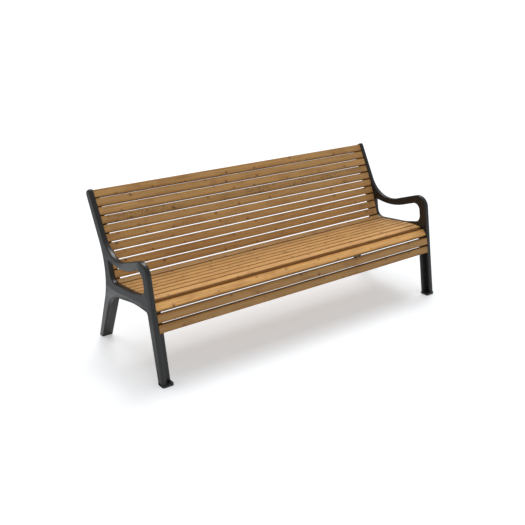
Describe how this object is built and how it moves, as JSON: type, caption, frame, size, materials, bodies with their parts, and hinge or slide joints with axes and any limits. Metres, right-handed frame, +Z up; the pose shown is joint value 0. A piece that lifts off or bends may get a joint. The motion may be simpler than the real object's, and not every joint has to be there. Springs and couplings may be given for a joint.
{
  "type": "garden bench",
  "caption": "Long slatted wooden bench with a curved seat and back on two dark cast metal end frames, each with a bowed armrest and splayed legs.",
  "frame": {"origin": "on the floor, at the centre of the bench's footprint box", "axes": "+X along the bench towards its right end as seen from the front, +Y from the front of the seat to the back, +Z up"},
  "size_m": [1.9, 0.7254, 0.8207],
  "materials": {
    "frame_coating": "satin",
    "slat_wood": "satin",
    "screw_steel": "satin"
  },
  "bodies": {
    "root": {"end_frame_left": "frame_coating", "end_frame_right": "frame_coating", "apron_slat_01": "slat_wood", "apron_slat_02": "slat_wood", "apron_slat_03": "slat_wood", "seat_slat_01": "slat_wood", "seat_slat_02": "slat_wood", "seat_slat_03": "slat_wood", "seat_slat_04": "slat_wood", "seat_slat_05": "slat_wood", "seat_slat_06": "slat_wood", "seat_slat_07": "slat_wood", "back_slat_01": "slat_wood", "back_slat_02": "slat_wood", "back_slat_03": "slat_wood", "back_slat_04": "slat_wood", "back_slat_05": "slat_wood", "back_slat_06": "slat_wood", "back_slat_07": "slat_wood", "back_slat_08": "slat_wood", "back_slat_09": "slat_wood", "back_slat_10": "slat_wood", "back_slat_11": "slat_wood", "apron_screws_left": "screw_steel", "apron_screws_right": "screw_steel", "seat_screws_left": "screw_steel", "seat_screws_right": "screw_steel", "back_screws_left": "screw_steel", "back_screws_right": "screw_steel"}
  },
  "joints": []
}
